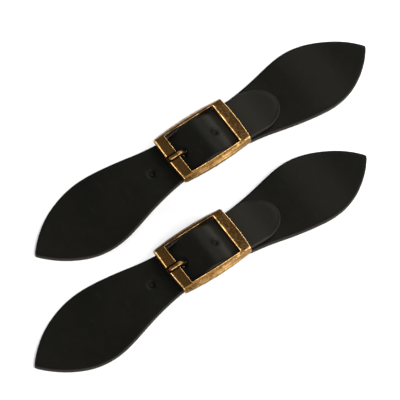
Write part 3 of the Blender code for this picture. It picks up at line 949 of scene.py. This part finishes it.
def brass_rod_mesh(name, radius, half_length, soft, worn_and_lit):
    """A bar about Y with an even wear. Cut from a piece, it leaves that wear in the bore."""
    mesh = rod_mesh(name, radius, half_length, soft)
    even_attribute(mesh, "wear_and_painted_light", worn_and_lit)
    return mesh


def solid_object(name, mesh):
    solid = bpy.data.objects.new(name, mesh)
    bpy.context.scene.collection.objects.link(solid)
    return solid


def combine(base, tools):
    """Applies each (operation, mesh) to an object as a Boolean."""
    for operation, mesh in tools:
        tool = solid_object("tool", mesh)
        modifier = base.modifiers.new(operation, "BOOLEAN")
        modifier.operation = operation
        modifier.object = tool
        modifier.solver = "EXACT"
        bpy.context.view_layer.update()
        graph = bpy.context.evaluated_depsgraph_get()
        result = bpy.data.meshes.new_from_object(base.evaluated_get(graph))
        base.modifiers.clear()
        base.data = result
        bpy.data.objects.remove(tool)


def rivet_cap_mesh():
    dome = [(0.0, 0.00430), (0.0007, 0.00427), (0.0013, 0.00420), (0.0019, 0.00409), (0.0024, 0.00394)]
    edge = [(0.00266, 0.00382), (0.00280, 0.00368), (0.00280, 0.00352), (0.00270, 0.00342)]
    stem = [(0.0016, 0.00342), (0.0016, 0.00112), (0.0015, 0.00100), (0.00125, 0.00100), (0.00125, 0.00335)]
    return turned("rivet_cap", dome + edge + stem + [(0.0, 0.00335)])


def rivet_post_mesh():
    shank = [(0.0, 0.00305), (0.00070, 0.00305), (0.00095, 0.00280), (0.00095, 0.00065)]
    head = [(0.00270, 0.00065), (0.00280, 0.00055), (0.00280, 0.00030), (0.00260, 0.00014), (0.0022, 0.00008)]
    return turned("rivet_post", shank + head + [(0.0, 0.00008)])


# ---------------------------------------------------------------- materials


class Shader:
    """A Principled material and short ways to add its nodes."""

    def __init__(self, name, metallic, roughness, specular=0.5, tint=(1.0, 1.0, 1.0)):
        self.material = bpy.data.materials.new(name)
        self.material.use_nodes = True
        self.nodes = self.material.node_tree.nodes
        self.links = self.material.node_tree.links
        self.main = self.nodes["Principled BSDF"]
        self.main.inputs["Metallic"].default_value = metallic
        self.main.inputs["Roughness"].default_value = roughness
        self.main.inputs["Specular IOR Level"].default_value = specular
        self.main.inputs["Specular Tint"].default_value = (*tint, 1.0)
        self.place = self.nodes.new("ShaderNodeTexCoord").outputs["Object"]

    def join(self, value, socket):
        if isinstance(value, bpy.types.NodeSocket):
            self.links.new(value, socket)
        else:
            socket.default_value = value

    def stretched(self, scale):
        """Object coordinates scaled unevenly."""
        mapping = self.nodes.new("ShaderNodeMapping")
        mapping.inputs["Scale"].default_value = scale
        self.links.new(self.place, mapping.inputs["Vector"])
        return mapping.outputs["Vector"]

    def noise(self, scale, detail=2.0, roughness=0.5, vector=None):
        node = self.nodes.new("ShaderNodeTexNoise")
        node.inputs["Scale"].default_value = scale
        node.inputs["Detail"].default_value = detail
        node.inputs["Roughness"].default_value = roughness
        self.links.new(vector or self.place, node.inputs["Vector"])
        return node.outputs["Fac"]

    def cells(self, scale):
        node = self.nodes.new("ShaderNodeTexVoronoi")
        node.feature = "SMOOTH_F1"
        node.inputs["Scale"].default_value = scale
        self.links.new(self.place, node.inputs["Vector"])
        return node.outputs["Distance"]

    def attribute(self, name):
        node = self.nodes.new("ShaderNodeAttribute")
        node.attribute_name = name
        return node.outputs["Fac"]

    def span(self, value, low, high, to_low=0.0, to_high=1.0):
        """Maps low..high to to_low..to_high, clamped."""
        node = self.nodes.new("ShaderNodeMapRange")
        for name, number in (("From Min", low), ("From Max", high), ("To Min", to_low), ("To Max", to_high)):
            node.inputs[name].default_value = number
        self.links.new(value, node.inputs["Value"])
        return node.outputs["Result"]

    def math(self, operation, a, b):
        node = self.nodes.new("ShaderNodeMath")
        node.operation = operation
        self.join(a, node.inputs[0])
        self.join(b, node.inputs[1])
        return node.outputs["Value"]

    def blend(self, share, a, b):
        node = self.nodes.new("ShaderNodeMix")
        node.data_type = "RGBA"
        self.join(share, node.inputs["Factor"])
        for value, socket in ((a, node.inputs[6]), (b, node.inputs[7])):
            self.join(value if isinstance(value, bpy.types.NodeSocket) else (*value, 1.0), socket)
        return node.outputs[2]

    def bump(self, height, distance, strength=1.0, after=None):
        node = self.nodes.new("ShaderNodeBump")
        node.inputs["Strength"].default_value = strength
        node.inputs["Distance"].default_value = distance
        self.links.new(height, node.inputs["Height"])
        if after is not None:
            self.links.new(after, node.inputs["Normal"])
        return node.outputs["Normal"]

    def finish(self, colour, roughness, normal):
        self.links.new(colour, self.main.inputs["Base Color"])
        self.links.new(roughness, self.main.inputs["Roughness"])
        self.links.new(normal, self.main.inputs["Normal"])
        return self.material


def leather_material():
    """Black leather: fine pebbled grain, paler fibrous cut edges, a napped grey-brown flesh side, painted
    sheen on the strap's right part and painted shade in its holes.
    """
    shader = Shader("black_leather", 0.0, 0.5, LEATHER_SPECULAR, LEATHER_SHEEN)
    pebbles = shader.cells(1500.0)
    pores = shader.noise(4200.0, 3.0, 0.6)
    clouds = shader.noise(55.0, 3.0, 0.55)
    streaks = shader.noise(420.0, 3.0, 0.6, shader.stretched((1.0, 0.45, 1.0)))
    cut = shader.attribute("cut_edge_and_hole_shade")
    flesh = shader.span(shader.attribute("flesh_side"), 0.85, 1.0)
    grain = shader.blend(shader.span(clouds, 0.35, 0.68), GRAIN_DARK, GRAIN_LIGHT)
    grain = shader.blend(shader.span(pores, 0.56, 0.74, 0.0, 0.45), grain, GRAIN_PALE)
    grain = shader.blend(shader.span(streaks, 0.58, 0.80, 0.0, 0.35), grain, GRAIN_PALE)
    # Painted sheen with some rubbing: the strap's right part is painted paler
    grain = shader.blend(shader.attribute("rubbed_and_lit"), grain, GRAIN_RUBBED_AND_SHEEN)
    fibres = shader.noise(2600.0, 4.0, 0.65, shader.stretched((1.0, 1.0, 2.4)))
    edge = shader.blend(shader.span(fibres, 0.35, 0.65), EDGE_DARK, EDGE_PALE)
    nap = shader.blend(shader.span(fibres, 0.30, 0.70), NAP_DARK, NAP_PALE)
    colour = shader.blend(flesh, shader.blend(cut, grain, edge), nap)
    rough = shader.span(clouds, 0.3, 0.7, 0.50, 0.60)
    rough = shader.math("ADD", rough, shader.math("MULTIPLY", cut, 0.12))
    rough = shader.math("ADD", rough, shader.math("MULTIPLY", flesh, 0.30))
    fine = shader.bump(pebbles, 0.00007, 0.55)
    fine = shader.bump(pores, 0.00004, 0.5, fine)
    return shader.finish(colour, rough, shader.bump(fibres, 0.00005, 0.35, fine))


def brass_material():
    """Antique brass: dark mottled patina in the flats, rubbed bright along the edges, painted lighter towards
    +X.
    """
    shader = Shader("antique_brass", 1.0, 0.35)
    # The wear attribute also carries painted light: lighter towards +X and darker towards -X
    worn_and_lit = shader.attribute("wear_and_painted_light")
    mottle = shader.noise(900.0, 4.0, 0.62)
    specks = shader.noise(3200.0, 3.0, 0.6)
    broad = shader.noise(160.0, 2.0, 0.5)
    patina = shader.blend(shader.span(mottle, 0.36, 0.66), BRONZE_DARK, BRONZE_MID)
    patina = shader.blend(shader.span(specks, 0.55, 0.72, 0.0, 0.5), patina, BRONZE_LIGHT)
    # Wear together with the painted end light, varied by noise
    rubbed_and_lit = shader.math("ADD", worn_and_lit, shader.span(broad, 0.3, 0.7, -0.14, 0.14))
    rubbed_and_lit = shader.math("ADD", rubbed_and_lit, shader.span(mottle, 0.3, 0.7, -0.16, 0.16))
    share = shader.span(rubbed_and_lit, 0.30, 0.85)
    bright = shader.blend(shader.span(specks, 0.35, 0.7), BRASS_BRIGHT, BRASS_DEEP)
    colour = shader.blend(share, patina, bright)
    polish = shader.math("MULTIPLY", share, 0.10)
    rough = shader.math("SUBTRACT", shader.span(mottle, 0.3, 0.7, 0.46, 0.36), polish)
    fine = shader.bump(mottle, 0.00005, 0.45)
    return shader.finish(colour, rough, shader.bump(specks, 0.00002, 0.5, fine))


def plain_metal(name, dark, light, roughness):
    """Drawn or pressed metal with faint lines and mottling."""
    shader = Shader(name, 1.0, roughness)
    lines = shader.noise(900.0, 3.0, 0.6, shader.stretched((1.0, 0.08, 1.0)))
    mottle = shader.noise(700.0, 3.0, 0.55)
    colour = shader.blend(shader.span(mottle, 0.35, 0.65), dark, light)
    rough = shader.span(mottle, 0.3, 0.7, roughness + 0.06, roughness - 0.05)
    fine = shader.bump(lines, 0.00002, 0.35)
    return shader.finish(colour, rough, shader.bump(mottle, 0.00002, 0.4, fine))


def floor_material():
    """Matte white paper."""
    shader = Shader("white_floor", 0.0, 0.9, 0.1)
    tooth = shader.noise(900.0, 2.0)
    colour = shader.blend(shader.span(tooth, 0.3, 0.7), PAPER_DARK, PAPER_LIGHT)
    rough = shader.span(tooth, 0.3, 0.7, 0.85, 0.95)
    return shader.finish(colour, rough, shader.bump(tooth, 0.00001, 0.1))


# ---------------------------------------------------------------- studio


def view_axes():
    """Right, forward along the ground, and back towards the camera."""
    sin_a, cos_a = math.sin(VIEW_AZIMUTH), math.cos(VIEW_AZIMUTH)
    sin_e, cos_e = math.sin(VIEW_ELEVATION), math.cos(VIEW_ELEVATION)
    right = Vector((cos_a, sin_a, 0.0))
    forward = Vector((-sin_a, cos_a, 0.0))
    back = Vector((sin_a * cos_e, -cos_a * cos_e, sin_e))
    return right, forward, back


def aim(thing, place, target):
    thing.location = place
    thing.rotation_euler = (Vector(target) - Vector(place)).to_track_quat("-Z", "Y").to_euler()
    bpy.context.scene.collection.objects.link(thing)


def add_camera():
    right, forward, back = view_axes()
    data = bpy.data.cameras.new("camera")
    data.lens = LENS
    data.sensor_width = SENSOR
    data.clip_end = 50.0
    camera = bpy.data.objects.new("camera", data)
    target = right * TARGET_RIGHT + forward * TARGET_FORWARD
    aim(camera, target + back * CAMERA_DISTANCE, target)
    bpy.context.scene.camera = camera


def add_light(name, place, size, power):
    data = bpy.data.lights.new(name, "AREA")
    data.shape = "RECTANGLE"
    data.size, data.size_y = size
    data.energy = power
    aim(bpy.data.objects.new(name, data), place, (0.0, 0.0, 0.0))


def add_studio():
    scene = bpy.context.scene
    scene.view_settings.view_transform = "Standard"
    scene.view_settings.look = "None"
    world = bpy.data.worlds.new("world")
    world.use_nodes = True
    background = world.node_tree.nodes["Background"]
    background.inputs["Color"].default_value = (1.0, 1.0, 1.0, 1.0)
    background.inputs["Strength"].default_value = WORLD_STRENGTH
    scene.world = world
    size = Vector((FLOOR_SIZE, FLOOR_SIZE, FLOOR_DEPTH))
    sheet = solid_object("floor", block_mesh("floor", Vector((0.0, 0.0, -FLOOR_DEPTH / 2)), size))
    sheet.data.materials.append(floor_material())
    for light in LIGHTS:
        add_light(*light)


# ---------------------------------------------------------------- assembly


def build_closure(suffix, heel, materials):
    """Makes one closure's seven pieces round its heel axis."""

    def make(node, mesh, tools, body, slot, centre):
        """Finishes a mesh with Booleans and puts it in its place, as the look of one node."""
        piece = solid_object(f"{node}_look_{suffix}", mesh)
        combine(piece, tools)
        piece.location = centre
        piece.data.materials.clear()
        piece.data.materials.append(materials[slot])
        piece.data.shade_smooth()
        piece.data.set_sharp_from_angle(angle=math.radians(SHARP_ANGLE[slot]))
        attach(piece, f"{body}_{suffix}")
        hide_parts(f"{node}_{suffix}")

    seed = {"a": 1.0, "b": 23.0}[suffix]
    ground = Vector((heel.x, heel.y, 0.0))
    low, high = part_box(f"billet_tab_{suffix}")
    billet = billet_leather(heel, low, high, seed)
    make("billet_tab", billet, [], "billet", "black_leather", ground)

    low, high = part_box(f"buckle_tab_{suffix}")
    tab = tab_leather(heel, low, high, seed + 11.0)
    seats = [
        ("DIFFERENCE", seat_mesh(CAP_SEAT_Z, CAP_SEAT_Z + SEAT_DEPTH)),
        ("DIFFERENCE", seat_mesh(POST_SEAT_Z - SEAT_DEPTH, POST_SEAT_Z)),
    ]
    make("buckle_tab", tab, seats, "tab", "black_leather", ground)

    rivet_centre = ground + Vector((RIVET_X, 0.0, HEEL_LIFT))
    make("rivet_cap", rivet_cap_mesh(), [], "tab", "rivet_brass", rivet_centre)
    make("rivet_post", rivet_post_mesh(), [], "tab", "rivet_brass", rivet_centre)

    bore = brass_rod_mesh("bore", LUG_BORE, 2 * LUG_OUTER_Y, BORE_SOFT, HIDDEN_WEAR)
    carriers = [("UNION", carrier(side, heel.z)) for carrier in (web_mesh, lug_mesh) for side in (1, -1)]
    carriers.append(("DIFFERENCE", bore))
    make("buckle_frame", frame_mesh(heel.z), carriers, "buckle", "antique_brass", heel)

    bar = rod_mesh("heel_bar", BAR_RADIUS, LUG_OUTER_Y, BAR_SOFT)
    make("heel_bar", bar, [], "buckle", "bar_steel", heel)

    eye = brass_rod_mesh("prong", EYE_RADIUS, EYE_HALF_WIDTH, EYE_SOFT, EYE_WEAR)
    bore = brass_rod_mesh("bore", EYE_BORE, 2 * EYE_HALF_WIDTH, BORE_SOFT, HIDDEN_WEAR)
    arm = [("UNION", prong_arm_mesh(heel.z)), ("DIFFERENCE", bore)]
    make("prong", eye, arm, "tongue", "antique_brass", heel)


def seat_mesh(bottom, top):
    """Cutter for the dished seat under a rivet's head, which stands at the rivet's place."""
    mesh = turned("seat", [(0.0, top), (SEAT_RADIUS, top), (SEAT_RADIUS, bottom), (0.0, bottom)])
    for vert in mesh.vertices:
        vert.co.x += RIVET_X
    even_attribute(mesh, "cut_edge_and_hole_shade", SEAT_CUT)
    even_attribute(mesh, "flesh_side", 0.5)
    return mesh


def main():
    add_camera()
    add_studio()
    materials = {
        "black_leather": leather_material(),
        "antique_brass": brass_material(),
        "bar_steel": plain_metal("bar_steel", STEEL_DARK, STEEL_LIGHT, STEEL_ROUGHNESS),
        "rivet_brass": plain_metal("rivet_brass", RIVET_DARK, RIVET_LIGHT, RIVET_ROUGHNESS),
    }
    swings = [joint for joint in frame["joints"] if joint["name"].startswith("prong_swing")]
    heels = {joint["name"][-1]: Vector(joint["pos_m"]) for joint in swings}
    for suffix in sorted(heels):
        build_closure(suffix, heels[suffix], materials)


main()
